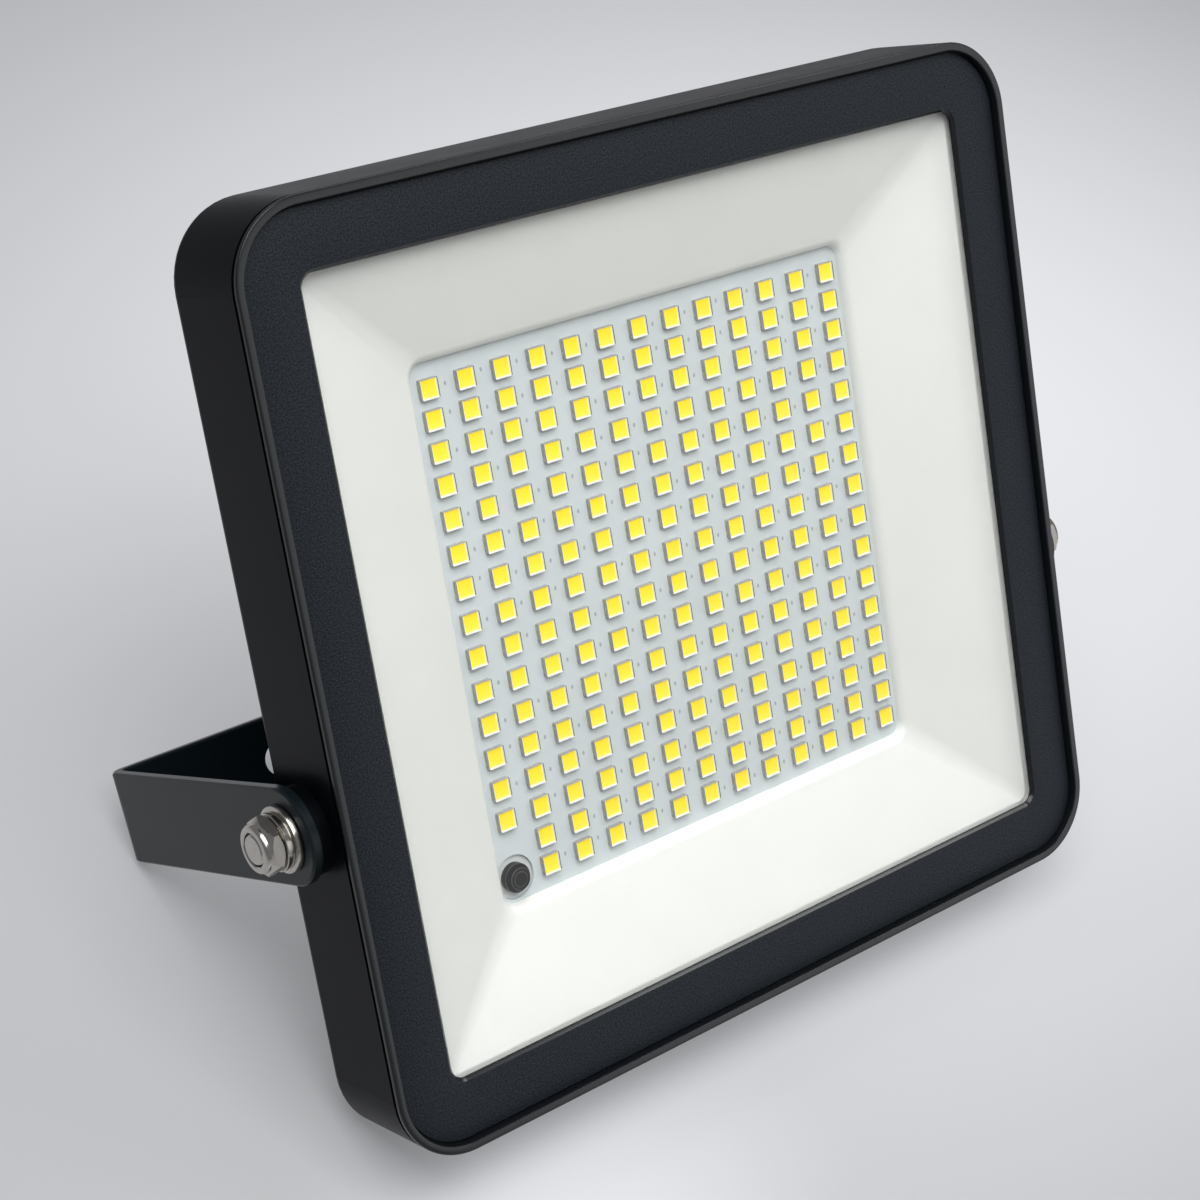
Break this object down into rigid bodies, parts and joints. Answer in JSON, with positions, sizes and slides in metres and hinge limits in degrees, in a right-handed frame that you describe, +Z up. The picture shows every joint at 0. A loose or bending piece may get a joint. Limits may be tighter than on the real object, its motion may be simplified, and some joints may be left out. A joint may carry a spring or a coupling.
{
  "type": "solar floodlight",
  "caption": "Flat rectangular LED floodlight with a framed glass front, a finned battery back and a U-shaped tilting bracket",
  "frame": {"origin": "middle of the bottom of the box round the whole lamp, as it rests on a table", "axes": "+X along the lamp's width and its tilt axis, to the right seen from the front; +Y to the back, where the bracket is; +Z up"},
  "size_m": [0.266, 0.1674, 0.1937],
  "materials": {
    "textured_black": "fine-textured powder coat",
    "bracket_black": "satin powder coat on steel",
    "tempered_glass": "clear polished pane",
    "seal_rubber": "soft moulded silicone",
    "reflector_white": "semi-gloss white moulding",
    "board_white": "white solder mask over aluminium",
    "led_white": "moulded white package",
    "phosphor_yellow": "yellow silicone fill",
    "sensor_black": "moulded black housing",
    "sensor_clear": "small clear lens",
    "bare_aluminium": "plain rolled sheet",
    "tray_plastic": "moulded tray",
    "cell_wrap": "shrink-wrapped steel cell",
    "circuit_green": "solder mask over glass laminate",
    "part_black": "moulded component",
    "socket_white": "moulded connector",
    "stainless": "bright stainless",
    "gland_black": "moulded nylon",
    "nylon_ring": "nylon insert"
  },
  "bodies": {
    "bracket": {"mounting_bracket": "bracket_black"},
    "lamp": {"front_frame": "textured_black", "rear_housing": "textured_black", "front_glass": "tempered_glass", "glass_gasket": "seal_rubber", "body_seal": "seal_rubber", "reflector": "reflector_white", "led_board": "board_white", "led_packages": "led_white", "led_phosphors": "phosphor_yellow", "sensor_holder": "reflector_white", "sensor_body": "sensor_black", "sensor_lens": "sensor_clear", "heat_spreader": "bare_aluminium", "battery_cells": "cell_wrap", "battery_tray": "tray_plastic", "controller_board": "circuit_green", "controller_coil": "part_black", "controller_chip": "part_black", "controller_capacitor": "part_black", "controller_socket": "socket_white", "frame_screws": "stainless", "spreader_screws": "stainless", "controller_screws": "stainless", "gland_body": "gland_black", "gland_cap": "gland_black", "gland_seal": "seal_rubber", "gland_locknut": "gland_black", "pivot_bolt_left": "stainless", "flat_washer_left": "stainless", "spring_washer_left": "stainless", "lock_nut_left": "stainless", "nut_ring_left": "nylon_ring", "pivot_bolt_right": "stainless", "flat_washer_right": "stainless", "spring_washer_right": "stainless", "lock_nut_right": "stainless", "nut_ring_right": "nylon_ring"}
  },
  "joints": [
    {"name": "lamp_tilt", "type": "hinge", "parent": "bracket", "child": "lamp", "pos_m": [0, -0.01621, 0.07279], "axis": [1, 0, 0], "range_deg": [-65, 60]}
  ]
}
